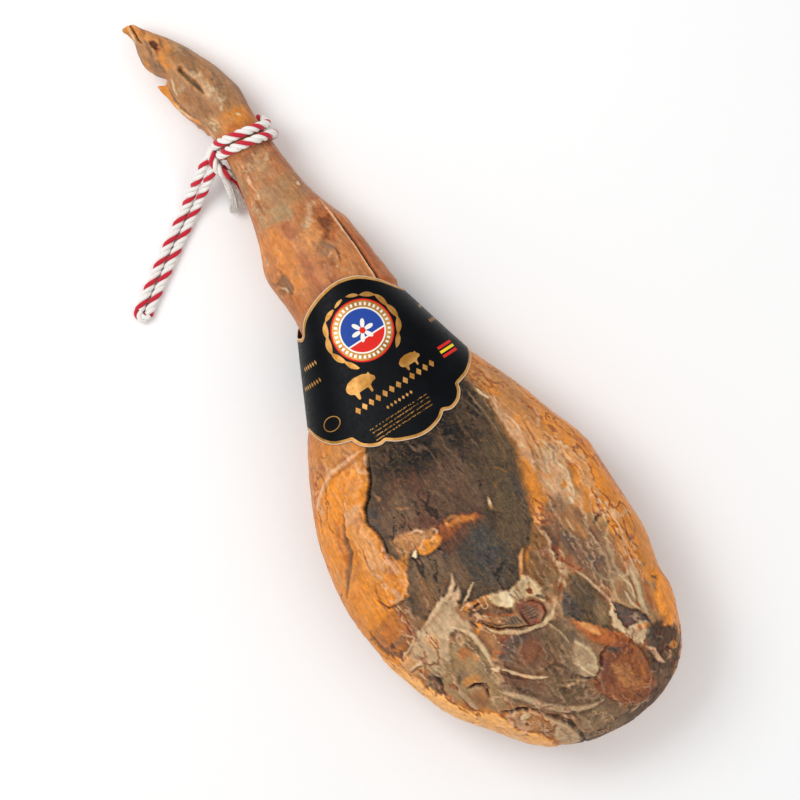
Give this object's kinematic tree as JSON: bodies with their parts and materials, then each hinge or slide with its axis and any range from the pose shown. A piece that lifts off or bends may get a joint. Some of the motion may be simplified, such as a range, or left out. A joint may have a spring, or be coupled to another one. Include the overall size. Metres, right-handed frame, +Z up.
{
  "type": "cured ham",
  "caption": "Whole bone-in dry-cured ham with foot, lying skin side down, with a lobed card collar round the shank and a twisted cotton hanging rope hitched to the hock.",
  "frame": {"origin": "under the middle of the ham, on the surface it lies on", "axes": "+X from the tip of the foot to the butt, +Y towards the back of the leg with its tendon, +Z up through the meat side"},
  "size_m": [0.768, 0.285, 0.128],
  "materials": {
    "cured_meat": "dry amber skin and fat, dark mottled cured meat, slight oily sheen",
    "card": "coated card, near black with a satin sheen and gold edging",
    "cotton_rope": "three-strand twisted cotton, two white strands and one red"
  },
  "bodies": {
    "root": {"ham": "cured_meat", "collar": "card", "rope_turn_1": "cotton_rope", "rope_turn_2": "cotton_rope", "rope_hitch": "cotton_rope", "rope_loop_leg_1": "cotton_rope", "rope_loop_leg_2": "cotton_rope", "rope_loop_end": "cotton_rope", "rope_frayed_end_long": "cotton_rope", "rope_frayed_end_short": "cotton_rope"}
  },
  "joints": []
}
